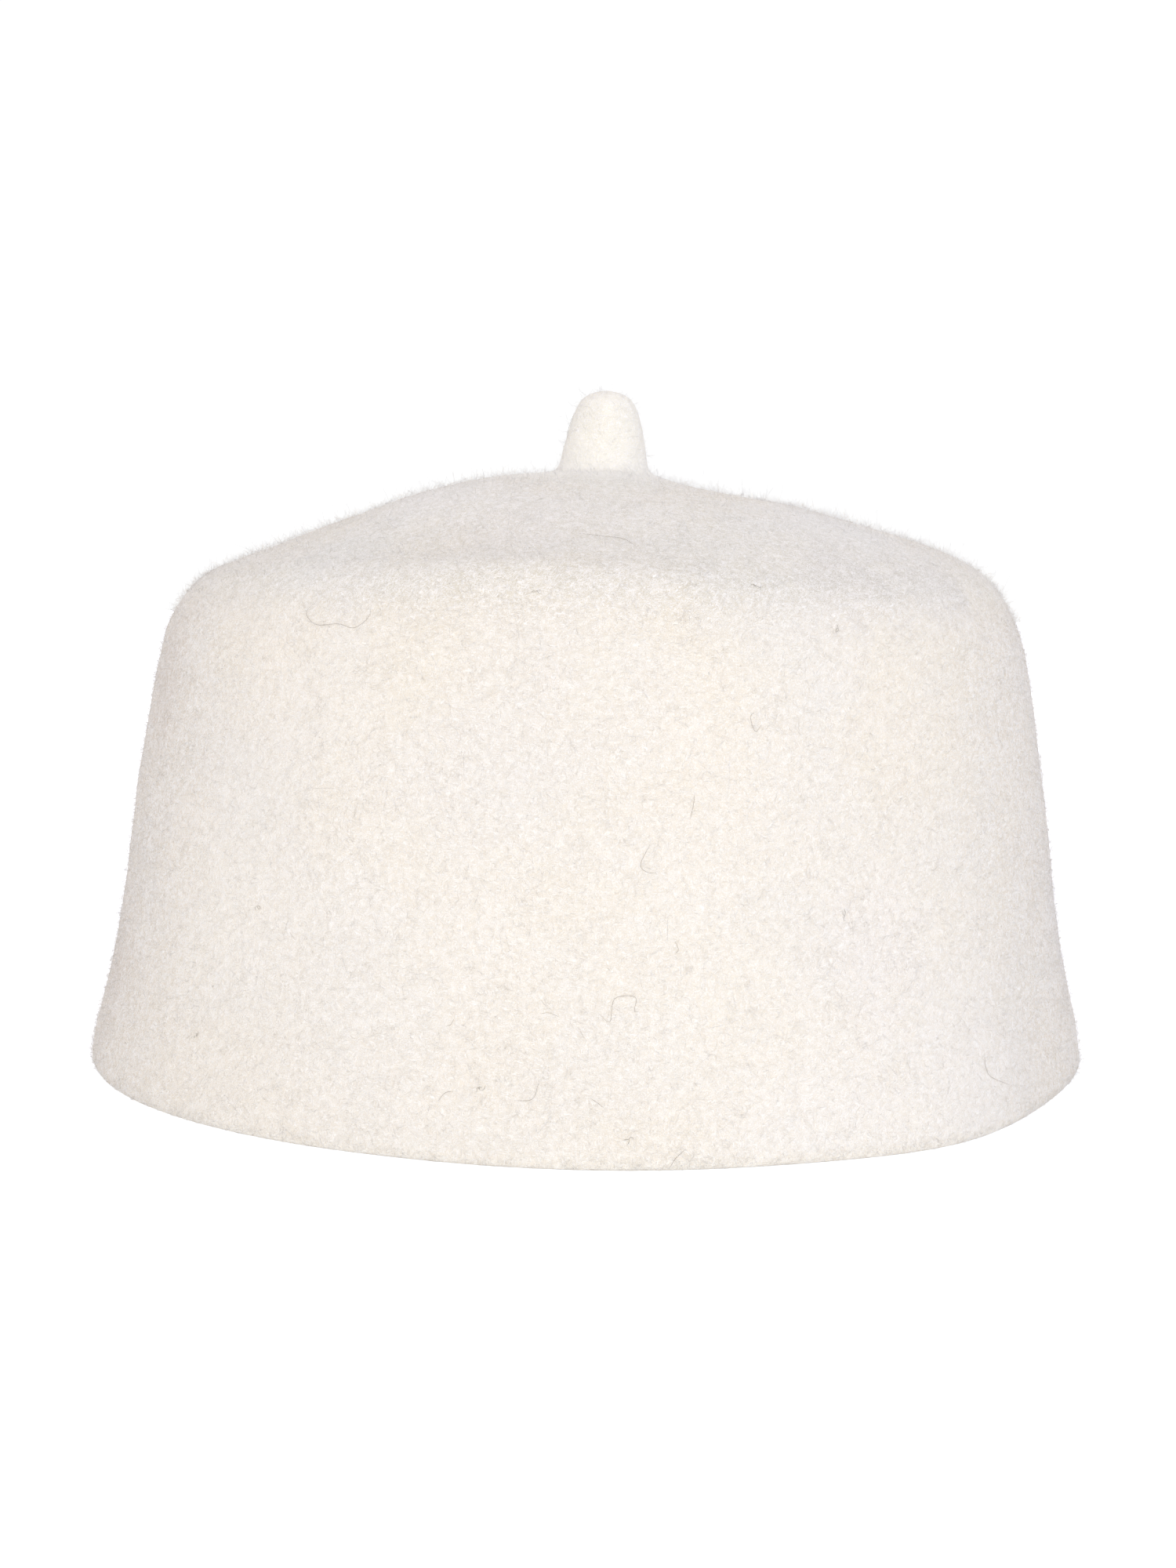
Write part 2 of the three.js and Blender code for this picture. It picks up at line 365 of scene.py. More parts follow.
def fibre_grain_group():
    """Matted fibres: fine streaks that cross in several directions over soft tufts."""
    tree, given, out = new_group(
        "fibre grain",
        (("Place", "NodeSocketVector", None), ("Fibre width", "NodeSocketFloat", STRAND_WIDTH)),
        (("Strands", "NodeSocketFloat"), ("Tufts", "NodeSocketFloat")),
    )
    bends = noise_texture(tree, given["Place"], 1 / BEND_SIZE, detail=1.0)["Color"]
    centred = vector_maths(tree, "SUBTRACT", bends, (0.5, 0.5, 0.5))
    bent = vector_maths(tree, "MULTIPLY_ADD", centred, (BEND_REACH,) * 3, given["Place"])
    scale = maths(tree, "DIVIDE", 1.0, given["Fibre width"])
    streaks = []
    for lean, turn in STRAND_TURNS:
        mapping = tree.nodes.new("ShaderNodeMapping")
        mapping.vector_type = "TEXTURE"
        mapping.inputs["Rotation"].default_value = (math.radians(lean), 0.0, math.radians(turn))
        mapping.inputs["Scale"].default_value = (1.0, 1.0, STRAND_STRETCH)
        join(tree, bent, mapping.inputs["Vector"])
        streaks.append(noise_texture(tree, mapping.outputs["Vector"], scale, detail=1.0)["Fac"])
    crossed = [maths(tree, "MAXIMUM", *pair) for pair in (streaks[:2], streaks[2:])]
    join(tree, remap(tree, maths(tree, "MAXIMUM", *crossed), *STRAND_RANGE), out["Strands"])
    tufts = noise_texture(tree, given["Place"], 1 / TUFT_SIZE, detail=4.0, roughness=0.6)["Fac"]
    join(tree, remap(tree, tufts, *TUFT_RANGE), out["Tufts"])
    return tree


def wool_clouds_group():
    """The felt's uneven colour: wide warm and grey blotches, and drifts a few millimetres across."""
    tree, given, out = new_group(
        "wool clouds",
        (("Place", "NodeSocketVector", None), ("Blotch size", "NodeSocketFloat", BLOTCH_SIZE)),
        (("Warm", "NodeSocketFloat"), ("Grey", "NodeSocketFloat"), ("Drifts", "NodeSocketFloat")),
    )
    scale = maths(tree, "DIVIDE", 1.0, given["Blotch size"])
    for name, shift in BLOTCH_SHIFTS.items():
        moved = vector_maths(tree, "ADD", given["Place"], shift)
        blotch = noise_texture(tree, moved, scale, detail=3.0)["Fac"]
        join(tree, remap(tree, blotch, *BLOTCH_RANGE), out[name])
    drifts = noise_texture(tree, given["Place"], 1 / DRIFT_SIZE, detail=3.0, roughness=0.6, distortion=0.4)
    join(tree, remap(tree, drifts["Fac"], *DRIFT_RANGE), out["Drifts"])
    return tree


def blotched_wool(tree, settings, clouds, height, warmth):
    """The wool's own colour: cream, with grey blotches and warm ones that grow towards the shoulder."""
    rise = remap(tree, height, *WARM_RISE, HEM_WARMTH * warmth, TOP_WARMTH * warmth)
    warm = maths(tree, "MULTIPLY", clouds["Warm"], rise)
    colour = mix_colours(tree, warm, opaque(settings.felt_colour), opaque(settings.warm_colour))
    grey = maths(tree, "MULTIPLY", clouds["Grey"], GREY_SHARE)
    return mix_colours(tree, grey, colour, opaque(settings.grey_colour))


def patched_wool(tree, colour, place, drifts, patches):
    """The colour with single places tinted. Each patch is a middle, a reach, a tint and a strength."""
    for middle, reach, tint, strength in patches:
        apart = vector_maths(tree, "DISTANCE", place, middle, output="Value")
        uneven = maths(tree, "MULTIPLY_ADD", drifts, PATCH_WOBBLE * reach, apart)
        mask = remap(tree, uneven, PATCH_CORE * reach, PATCH_EDGE * reach, strength, 0.0)
        colour = mix_colours(tree, mask, colour, opaque(tint))
    return colour


def white_ends(tree, settings, colour, height):
    """The colour with the stub's whiter wool, which also paints the glow of light through it, a painted
    highlight ring at its foot and painted light along the hem's lower edge.
    """
    # Painted glow: the stub's paler colour is partly whiter wool and partly light shining through it.
    stub = remap(tree, height, *STUB_RANGE, 0.0, settings.stub_paleness)
    colour = mix_colours(tree, stub, colour, opaque(settings.stub_wool_and_glow))
    # Painted highlight: a white ring at the stub's foot.
    ring = maths(tree, "MULTIPLY", remap(tree, height, *FOOT_HIGHLIGHT_RANGE, 1.0, 0.0), stub)
    colour = mix_colours(tree, ring, colour, opaque(settings.foot_highlight_colour))
    # Painted light: the hem's lower edge, which faces the floor, is made paler.
    hem = remap(tree, height, *HEM_LIGHT_RANGE, 1.0, 0.0)
    return mix_colours(tree, hem, colour, opaque(settings.painted_light_patch))


def depth_with_painted_shade(tree, settings, spot, crown):
    """How deep the mottling is: least in front, and more towards both sides and on the crown, which is
    painted shade there.
    """
    round_the_axis = maths(tree, "ARCTAN2", spot["X"], spot["Y"])
    aside = maths(tree, "ABSOLUTE", maths(tree, "SINE", round_the_axis))
    below_crown = maths(tree, "SUBTRACT", 1.0, crown)
    sides = maths(tree, "MULTIPLY", remap(tree, aside, SIDE_SHADE_START, 1.0), below_crown)
    mottle_and_shade = maths(tree, "MAXIMUM", sides, maths(tree, "MULTIPLY", crown, CROWN_SHADE_SHARE))
    return maths(tree, "MULTIPLY_ADD", mottle_and_shade, settings.side_crown_shade_mottle, settings.mottle)


def felt_material(name, settings, warmth, groups, patches):
    """Matted cream wool. warmth is the strength of its warm blotches, and patches are tinted places, some of
    them painted light or painted shade.
    """
    material = bpy.data.materials.new(name)
    material.use_nodes = True
    tree = material.node_tree
    shader = tree.nodes["Principled BSDF"]
    place = tree.nodes.new("ShaderNodeTexCoord").outputs["Object"]
    clouds = place_group(tree, groups["clouds"], place)
    grain = place_group(tree, groups["grain"], place)
    parts = tree.nodes.new("ShaderNodeSeparateXYZ")
    join(tree, place, parts.inputs["Vector"])
    height = parts.outputs["Z"]

    colour = blotched_wool(tree, settings, clouds, height, warmth)
    colour = patched_wool(tree, colour, place, clouds["Drifts"], patches)
    colour = white_ends(tree, settings, colour, height)

    crown = remap(tree, height, *CROWN_RANGE)
    # The mottle deepens towards both sides and on the crown as painted shade.
    mottle_and_shade = depth_with_painted_shade(tree, settings, parts.outputs, crown)
    on_stub = remap(tree, height, *STUB_RANGE, 1.0, PORES_ON_STUB)
    strands = maths(tree, "MULTIPLY", grain["Strands"], STRANDS_IN_PORES)
    pores = maths(tree, "ADD", strands, maths(tree, "MULTIPLY", grain["Tufts"], TUFTS_IN_PORES))
    drifted = maths(tree, "MULTIPLY_ADD", clouds["Drifts"], DRIFTS_IN_PORES, pores)
    pits = remap(tree, drifted, *PIT_RANGE, 1.0, 0.0)
    depth = maths(tree, "MULTIPLY", pits, maths(tree, "MULTIPLY", mottle_and_shade, on_stub))
    shade = mix_colours(tree, crown, opaque(settings.shade_colour), opaque(settings.crown_shade))
    colour = mix_colours(tree, depth, colour, shade, "MULTIPLY")

    wisps = maths(tree, "MULTIPLY", grain["Strands"], maths(tree, "ADD", pores, WISP_START))
    wisps = maths(tree, "MULTIPLY", wisps, maths(tree, "ADD", mottle_and_shade, WISP_START))
    colour = mix_colours(tree, wisps, colour, opaque(settings.strand_colour))
    join(tree, colour, shader.inputs["Base Color"])
    roughness = remap(tree, grain["Tufts"], 0.0, 1.0, *FELT_ROUGHNESS)
    join(tree, roughness, shader.inputs["Roughness"])
    shader.inputs["Specular IOR Level"].default_value = WOOL_SPECULAR

    bump = tree.nodes.new("ShaderNodeBump")
    bump.inputs["Strength"].default_value = BUMP_STRENGTH
    bump.inputs["Distance"].default_value = BUMP_DEPTH
    join(tree, maths(tree, "ADD", grain["Strands"], grain["Tufts"]), bump.inputs["Height"])
    join(tree, bump.outputs["Normal"], shader.inputs["Normal"])
    return material


def plain_wool(name, colour, sheen=0.0):
    """A single fibre's material. Its colour is even, and the fibres' places make the pattern."""
    material = bpy.data.materials.new(name)
    material.use_nodes = True
    shader = material.node_tree.nodes["Principled BSDF"]
    shader.inputs["Base Color"].default_value = opaque(colour)
    shader.inputs["Roughness"].default_value = FIBRE_ROUGHNESS
    shader.inputs["Specular IOR Level"].default_value = WOOL_SPECULAR
    shader.inputs["Sheen Weight"].default_value = sheen
    return material


def show(name, mesh):
    """A piece of the cap, which rides with it."""
    piece = bpy.data.objects.new(name, mesh)
    bpy.context.scene.collection.objects.link(piece)
    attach(piece, BODY)
    return piece


def show_wool(name, mesh, colour, sheen=0.0):
    """A piece of fibres in one plain wool."""
    mesh.materials.append(plain_wool(name.replace("_", " "), colour, sheen))
    show(name, mesh)


def smooth_copy(node, levels):
    """The node's facets as a smooth mesh: merged, turned into quads and subdivided."""
    work = bmesh.new()
    work.from_mesh(node.data)
    bmesh.ops.remove_doubles(work, verts=work.verts, dist=MERGE_DISTANCE)
    bmesh.ops.join_triangles(
        work, faces=work.faces, angle_face_threshold=FLATTEST_FOLD, angle_shape_threshold=SQUAREST_CORNER
    )
    mesh = bpy.data.meshes.new("smooth cap")
    work.to_mesh(mesh)
    work.free()
    rough = bpy.data.objects.new("smooth cap", mesh)
    bpy.context.scene.collection.objects.link(rough)
    rounding = rough.modifiers.new("rounding", "SUBSURF")
    rounding.levels = rounding.render_levels = levels
    graph = bpy.context.evaluated_depsgraph_get()
    smooth = bpy.data.meshes.new_from_object(rough.evaluated_get(graph))
    bpy.data.objects.remove(rough)
    return smooth


def is_outside(place, normal):
    """Whether a face is on the cap's outside."""
    return normal.dot(place - HOLLOW_MIDDLE) > 0


def are_outside(places, normals):
    """Whether each row of places and normals is on the cap's outside."""
    return np.einsum("fx,fx->f", places - np.array(HOLLOW_MIDDLE), normals) > 0


def lump(place, settings):
    """How far the felt stands proud at a place, from three sizes of lump."""
    height = 0.0
    for size, share in LUMPS:
        height += share * noise.noise(place / size)
    return height * settings.lump_height


def add_lumps(mesh, settings):
    """Moves the smooth felt in and out a little, except where it stands on the floor."""
    normals = [vertex.normal.copy() for vertex in mesh.vertices]
    for vertex, normal in zip(mesh.vertices, normals):
        off_floor = min(1.0, max(0.0, (vertex.co.z - cap_low.z) / LUMPS_FULL_FROM))
        vertex.co += normal * lump(vertex.co, settings) * off_floor
        vertex.co.z = max(vertex.co.z, cap_low.z)


def build_body(settings):
    """The felt itself, which stands for the solid cap."""
    mesh = smooth_copy(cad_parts[CAP_NODE], settings.body_levels)
    mesh.name = "felt body"
    add_lumps(mesh, settings)
    groups = {"clouds": wool_clouds_group(), "grain": fibre_grain_group()}
    tree = felt_tree(mesh)
    patches = [
        (seen_on_felt(tree, [pixel])[0], reach, getattr(settings, tint), strength)
        for pixel, reach, tint, strength in PATCHES_SEEN.values()
    ]
    mesh.materials.clear()
    mesh.materials.append(felt_material("cream felt", settings, OUTSIDE_WARMTH, groups, patches))
    mesh.materials.append(felt_material("felt inside", settings, INSIDE_WARMTH, groups, ()))
    for face in mesh.polygons:
        face.use_smooth = True
        face.material_index = 0 if is_outside(face.center, face.normal) else 1
    body = show("felt_body", mesh)
    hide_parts(CAP_NODE)


def unit(vectors):
    """Rows of vectors, each made one long."""
    return vectors / np.maximum(np.linalg.norm(vectors, axis=1, keepdims=True), SMALLEST_LENGTH)


def vertex_rows(mesh, name):
    """The places or normals of a mesh's vertices, as rows of three numbers."""
    values = np.empty(len(mesh.vertices) * 3)
    mesh.vertices.foreach_get(name, values)
    return values.reshape(-1, 3)


def surface_points(mesh, count, dice, keep):
    """Random places on a mesh with their normals. keep gives the density on each triangle."""
    mesh.calc_loop_triangles()
    triangles = mesh.loop_triangles
    corners = np.empty(len(triangles) * 3, np.int32)
    triangles.foreach_get("vertices", corners)
    corners = corners.reshape(-1, 3)
    spots = vertex_rows(mesh, "co")[corners]
    crossed = np.cross(spots[:, 1] - spots[:, 0], spots[:, 2] - spots[:, 0])
    areas = np.linalg.norm(crossed, axis=1) * keep(spots.mean(1), crossed)
    chosen = np.searchsorted(np.cumsum(areas) / areas.sum(), dice.random(count))
    chosen = np.minimum(chosen, len(areas) - 1)
    first, second = np.sqrt(dice.random(count)), dice.random(count)
    shares = np.stack([1 - first, first * (1 - second), first * second], 1)
    roots = np.einsum("fc,fcx->fx", shares, spots[chosen])
    upward = np.einsum("fc,fcx->fx", shares, vertex_rows(mesh, "normal")[corners[chosen]])
    return roots, unit(upward)


def sliver_mesh(name, places, faces):
    """Many alike slivers in one mesh, none below the floor. faces joins the corners of one of them."""
    places[:, :, 2] = np.maximum(places[:, :, 2], cap_low.z)
    count, corners = places.shape[:2]
    loops = (np.array(faces)[None, :, :] + corners * np.arange(count)[:, None, None]).ravel()
    mesh = bpy.data.meshes.new(name)
    mesh.vertices.add(count * corners)
    mesh.vertices.foreach_set("co", places.ravel())
    mesh.loops.add(len(loops))
    mesh.loops.foreach_set("vertex_index", loops.astype(np.int32))
    mesh.polygons.add(len(loops) // 3)
    mesh.polygons.foreach_set("loop_start", np.arange(0, len(loops), 3, dtype=np.int32))
    mesh.update(calc_edges=True)
    mesh.validate()
    return mesh


def turn_up(tips, ways):
    """Turns the ways of the fibres upward whose tips would reach into the floor."""
    low = tips[:, 2] < cap_low.z + FLOOR_GAP
    for way in ways:
        way[low, 2] = np.abs(way[low, 2])


def corners_round(middles, radius, side, high):
    """The corners of each fibre's section round its middle."""
    corners = []
    for corner in range(SLIVER_SIDES):
        angle = math.tau * corner / SLIVER_SIDES
        corners.append(middles + radius * (side * math.cos(angle) + high * math.sin(angle)))
    return corners


def fibre_mesh(name, roots, normals, lift, length, width, dice):
    """Bent fibres in one mesh, each a closed sliver with two points. lift is its least and most slope."""
    count = len(roots)
    least, spread, most = FIBRE_SHARES
    aside = unit(np.cross(normals, dice.normal(size=(count, 3))))
    across = np.cross(normals, aside)
    swing = dice.uniform(-WIDEST_SWING, WIDEST_SWING, (count, 1))
    slope = dice.uniform(*lift, (count, 1))
    first = unit(aside + normals * slope)
    turned = aside * np.cos(swing) + across * np.sin(swing)
    second = unit(turned + normals * slope * dice.uniform(*END_SLOPE, (count, 1)))
    half = length / 2 * (least + dice.exponential(spread, (count, 1)).clip(0, most))
    turn_up(roots + (first + second) * half, (first, second))
    middles = roots + first * half
    radius = width / 2 * dice.uniform(*FIBRE_WIDTHS, (count, 1))
    side = unit(np.cross(first, second + SIDE_NUDGE * across))
    high = unit(np.cross(first + second, side))
    ring = corners_round(middles, radius, side, high)
    places = np.stack([roots - first * ROOT_DEPTH, *ring, middles + second * half], 1)
    return sliver_mesh(name, places, FIBRE_FACES)


def down_mesh(name, roots, normals, length, width, dice):
    """Fine straight fibres that stand off the felt, each a closed sliver with a point."""
    count = len(roots)
    least, spread, most = DOWN_SHARES
    aside = unit(dice.normal(size=(count, 3)))
    way = unit(normals + aside * dice.uniform(*DOWN_TILT, (count, 1)))
    tall = length * (least + dice.exponential(spread, (count, 1)).clip(0, most))
    turn_up(roots + way * tall, (way,))
    side = unit(np.cross(way, dice.normal(size=(count, 3))))
    high = np.cross(way, side)
    ring = corners_round(roots + way * tall * DOWN_BELLY, width / 2, side, high)
    places = np.stack([roots - way * ROOT_DEPTH, *ring[1:], roots + way * tall], 1)
    return sliver_mesh(name, places, DOWN_FACES)


def past(values, start, reach):
    """How far values are past a start, from 0 to 1 over a reach."""
    return np.clip((values - start) / reach, 0.0, 1.0)


def build_nap(settings):
    """The wool's nap, as many short fibres in one piece for each shade and lie of the wool."""
    body = bpy.data.objects["felt_body"]
    dice = np.random.default_rng(settings.seed)

    def density(places, normals):
        height = places[:, 2]
        dense = np.where(height > STUB_FOOT, settings.stub_fuzz, 1.0)
        dense = np.where(height < cap_low.z + HEM_EDGE, HEM_DENSITY, dense)
        dense = np.where(are_outside(places, normals), dense, INSIDE_DENSITY)
        return dense * (height > cap_low.z + FLOOR_GAP)

    def on_crown(places):
        return past(places[:, 2] / CAP_HEIGHT, CROWN_START, CROWN_REACH)

    def bent_density(places, normals):
        apart = np.hypot(places[:, 0] - STUB_SHIFT, places[:, 1])
        off_stub = past(apart, BARE_ROUND_STUB, BARE_FADE)
        off_crown = 1.0 - BENT_LOSS_ON_CROWN * on_crown(places)
        near_stub = places[:, 2] > STUB_FOOT - NEAR_STUB
        return density(places, normals) * off_crown * np.where(near_stub, off_stub, 1.0)

    def down_density(places, normals):
        return density(places, normals) * (1.0 + DOWN_GAIN_ON_CROWN * on_crown(places))

    bent_kinds = (
        ("nap_grey", settings.grey_nap, LYING, settings.nap_length, settings.nap_width),
        ("fuzz_cream", settings.cream_wool, STANDING, settings.fuzz_length, settings.fuzz_width),
        ("fuzz_grey", settings.grey_wool, STANDING, settings.fuzz_length, settings.fuzz_width),
    )
    for name, colour, lift, length, width in bent_kinds:
        roots, normals = surface_points(body.data, settings.fibres_each, dice, bent_density)
        show_wool(name, fibre_mesh(name, roots, normals, lift, length, width, dice), colour)
    for name, colour in (("down_white", settings.white_wool), ("down_cream", settings.down_colour)):
        roots, normals = surface_points(body.data, settings.down_count, dice, down_density)
        mesh = down_mesh(name, roots, normals, settings.down_length, settings.down_width, dice)
        show_wool(name, mesh, colour, settings.down_sheen)


def sight_line(column, row):
    """The direction from the camera through a pixel of the photograph."""
    across = (column - PHOTO_WIDTH / 2) / FOCAL_PIXELS
    up = (PHOTO_HEIGHT / 2 - row) / FOCAL_PIXELS
    return camera_turn() @ Vector((across, up, -1.0)).normalized()


def camera_turn():
    """The camera's attitude: level, then pitched down and rolled."""
    pitched = Matrix.Rotation(math.pi / 2 - CAMERA_PITCH, 3, "X")
    return pitched @ Matrix.Rotation(CAMERA_ROLL, 3, "Z")


def curve_through(points, steps):
    """Places along a smooth curve through some points."""
    ends = [2 * points[0] - points[1], *points, 2 * points[-1] - points[-2]]
    places = []
    for index in range(1, len(ends) - 2):
        before, start, end, after = ends[index - 1:index + 3]
        for step in range(steps):
            t = step / steps
            places.append(
                0.5 * (2 * start + (end - before) * t + (2 * before - 5 * start + 4 * end - after) * t ** 2
                       + (3 * start - before - 3 * end + after) * t ** 3)
            )
    places.append(points[-1])
    return places


def hair_tube(work, places, radius):
    """One closed hair along some places in a bmesh, thinner towards both ends."""
    rings = []
    last = len(places) - 1
    side = None
    for index, place in enumerate(places):
        way = (places[min(index + 1, last)] - places[max(index - 1, 0)]).normalized()
        guide = side if side else way.orthogonal()
        side = (guide - way * guide.dot(way)).normalized()
        high = way.cross(side)
        thick = radius * min(1.0, HAIR_TIP + HAIR_TAPER * min(index, last - index) / last)
        ring = []
        for corner in range(HAIR_SIDES):
            angle = math.tau * corner / HAIR_SIDES
            ring.append(work.verts.new(place + thick * (side * math.cos(angle) + high * math.sin(angle))))
        rings.append(ring)
    for lower, upper in zip(rings, rings[1:]):
        for corner in range(HAIR_SIDES):
            after = (corner + 1) % HAIR_SIDES
            work.faces.new((lower[corner], lower[after], upper[after], upper[corner]))
    work.faces.new(list(reversed(rings[0])))
    work.faces.new(rings[-1])


def felt_tree(mesh):
    """The felt's faces in a tree that finds where a line meets them."""
    return BVHTree.FromPolygons(
        [vertex.co for vertex in mesh.vertices], [face.vertices[:] for face in mesh.polygons]
    )


def on_felt(tree, points, steps):
    """A smooth path through points on the felt, laid a little above it."""
    laid = []
    for place in curve_through(points, steps):
        found, normal, _, _ = tree.find_nearest(place)
        laid.append(found + normal * HAIR_LIFT)
    return laid


def hairs_mesh(name, paths, radius):
    """Hairs along some paths, in one mesh."""
    work = bmesh.new()
    for path in paths:
        hair_tube(work, path, radius)
    mesh = bpy.data.meshes.new(name)
    work.to_mesh(mesh)
    work.free()
    for face in mesh.polygons:
        face.use_smooth = True
    return mesh


def seen_on_felt(tree, pixels):
    """Where sight lines through some pixels meet the felt."""
    met = []
    for column, row in pixels:
        place = tree.ray_cast(CAMERA_PLACE, sight_line(column, row))[0]
        if place is None:
            raise RuntimeError(f"the sight line through pixel {column}, {row} misses the cap")
        met.append(place)
    return met


def loose_hair(dice, tree, start, normal, length):
    """A path of a loose hair that wanders over the felt from a place on it."""
    way = (normal.orthogonal() @ Matrix.Rotation(dice.uniform(0, math.tau), 3, normal)).normalized()
    curl = dice.uniform(-HAIR_CURL, HAIR_CURL)
    points = [start]
    for _ in range(HAIR_LEGS):
        place = points[-1] + way * length / HAIR_LEGS
        found, normal, _, _ = tree.find_nearest(place)
        points.append(found)
        way = (way - normal * way.dot(normal)).normalized()
        way = way @ Matrix.Rotation(curl + dice.uniform(-HAIR_WANDER, HAIR_WANDER), 3, normal)
    return points


def hair_density(places, normals):
    """Where invented hairs may start: on the outside of the sides and back, and well above the floor."""
    behind = places[:, 1] > HAIRS_BEHIND
    return behind & are_outside(places, normals) & (places[:, 2] > HAIRS_ABOVE)


def build_hairs(settings):
    """The hairs and specks that the photograph shows, and more hairs like them round the sides and back."""
    body = bpy.data.objects["felt_body"]
    tree = felt_tree(body.data)
    dice = random.Random(settings.seed)
    paths = [on_felt(tree, seen_on_felt(tree, pixels), SEEN_STEPS) for pixels in HAIRS_SEEN.values()]
    spots = np.random.default_rng(settings.seed + 1)
    points, normals = surface_points(body.data, settings.loose_hairs, spots, hair_density)
    for point, normal in zip(points, normals):
        length = dice.uniform(*HAIR_LENGTHS) * MM
        path = loose_hair(dice, tree, Vector(point), Vector(normal), length)
        paths.append(on_felt(tree, path, LOOSE_STEPS))
    knots = []
    for pixel in SPECKS_SEEN.values():
        place = seen_on_felt(tree, [pixel])[0]
        _, normal, _, _ = tree.find_nearest(place)
        for _ in range(HAIRS_IN_SPECK):
            path = loose_hair(dice, tree, place, normal, dice.uniform(*SPECK_LENGTHS) * MM)
            knots.append(on_felt(tree, path, SPECK_STEPS))
    radius = settings.hair_width / 2
    show_wool("stray_hairs", hairs_mesh("stray hairs", paths, radius), settings.hair_colour)
    show_wool("fibre_specks", hairs_mesh("fibre specks", knots, radius), settings.speck_colour)


def hang_light(name, kind, place, aim, power, colour):
    """A light at a place that shines at another. It returns the light's own data."""
    light = bpy.data.lights.new(name, kind)
    light.energy = power
    light.color = colour
    lamp = bpy.data.objects.new(name, light)
    lamp.location = place
    lamp.rotation_mode = "QUATERNION"
    lamp.rotation_quaternion = (aim - place).to_track_quat("-Z", "Y")
    bpy.context.scene.collection.objects.link(lamp)
    return light


def soft_light(name, place, size, power, colour):
    """A wide round light on the whole cap."""
    light = hang_light(name, "AREA", place, CAP_MIDDLE, power, colour)
    light.shape = "DISK"
    light.size = size


def narrow_light(name, place, power, colour):
    """A narrow light on the stub alone."""
    light = hang_light(name, "SPOT", place, STUB_AIM, power, colour)
    light.spot_size = STUB_SPREAD
    light.spot_blend = 1.0
    light.shadow_soft_size = STUB_LAMP


def studio_world(settings):
    """White all round to the camera, and for all else a softer fill that is dimmer towards both sides."""
    world = bpy.data.worlds.new("studio")
    world.use_nodes = True
    tree = world.node_tree
    tree.nodes.clear()
    seen = tree.nodes.new("ShaderNodeBackground")
    seen.inputs["Color"].default_value = WHITE
    seen.inputs["Strength"].default_value = SEEN_WHITE
    fill = tree.nodes.new("ShaderNodeBackground")
    fill.inputs["Color"].default_value = opaque(settings.fill_colour)
    ways = tree.nodes.new("ShaderNodeSeparateXYZ")
    join(tree, tree.nodes.new("ShaderNodeTexCoord").outputs["Generated"], ways.inputs["Vector"])
    aside = maths(tree, "POWER", maths(tree, "ABSOLUTE", ways.outputs["X"]), 2.0)
    dimmed = maths(tree, "MULTIPLY_ADD", aside, -settings.side_dimming, settings.fill_strength)
    join(tree, dimmed, fill.inputs["Strength"])
    either = tree.nodes.new("ShaderNodeMixShader")
    path = tree.nodes.new("ShaderNodeLightPath")
    join(tree, path.outputs["Is Camera Ray"], either.inputs["Fac"])
    join(tree, fill.outputs["Background"], either.inputs[1])
    join(tree, seen.outputs["Background"], either.inputs[2])
    join(tree, either.outputs["Shader"], tree.nodes.new("ShaderNodeOutputWorld").inputs["Surface"])
    bpy.context.scene.world = world


def studio_floor(settings):
    """A wide pale floor, lit a little from within like a light table, so that it meets the white."""
    work = bmesh.new()
    bmesh.ops.create_circle(work, cap_ends=True, segments=FLOOR_SIDES, radius=settings.floor_radius)
    mesh = bpy.data.meshes.new("studio floor")
    work.to_mesh(mesh)
    work.free()
    material = bpy.data.materials.new("pale floor")
    material.use_nodes = True
    tree = material.node_tree
    shader = tree.nodes["Principled BSDF"]
    shader.inputs["Base Color"].default_value = opaque(settings.floor_colour)
    shader.inputs["Roughness"].default_value = FLOOR_ROUGHNESS
    shader.inputs["Specular IOR Level"].default_value = FLOOR_SPECULAR
    shader.inputs["Emission Color"].default_value = WHITE
    seen = tree.nodes.new("ShaderNodeLightPath").outputs["Is Camera Ray"]
    glow = remap(tree, seen, 0.0, 1.0, settings.floor_bounce, settings.floor_glow)
    join(tree, glow, shader.inputs["Emission Strength"])
    mesh.materials.append(material)
    floor = bpy.data.objects.new("studio_floor", mesh)
    floor.location.z = cap_low.z
    bpy.context.scene.collection.objects.link(floor)


def studio_camera():
    """The camera at the photograph's place, with its lens."""
    camera = bpy.data.cameras.new("photo camera")
    camera.lens = CAMERA_LENS
    camera.sensor_width = SENSOR_LONG_SIDE
    camera.clip_start = NEAREST_SEEN
    seat = bpy.data.objects.new("photo_camera", camera)
    seat.matrix_world = Matrix.Translation(CAMERA_PLACE) @ camera_turn().to_4x4()
    bpy.context.scene.collection.objects.link(seat)
    bpy.context.scene.camera = seat


def build_studio(settings):
    """The camera, the white world, the floor and the lights."""
    bpy.context.scene.view_settings.view_transform = "Standard"
    studio_camera()
    studio_world(settings)
    studio_floor(settings)
    soft_light("front light", FRONT_LAMP, WIDE_LAMP, settings.front_power, settings.front_colour)
    soft_light("back light", BACK_LAMP, WIDE_LAMP, settings.back_power, settings.front_colour)
    soft_light("right light", RIGHT_LAMP, SIDE_LAMP, settings.right_power, settings.right_colour)
    for name, place in STUB_LAMPS.items():
        narrow_light(name, place, settings.stub_power, settings.stub_light)


def shade_property(name, description, default):
    return FloatVectorProperty(
        name=name, description=description, default=default, subtype="COLOR", size=3, min=0.0, max=1.0
    )


def length_property(name, description, default):
    return FloatProperty(name=name, description=description, default=default, min=0.0, unit="LENGTH")


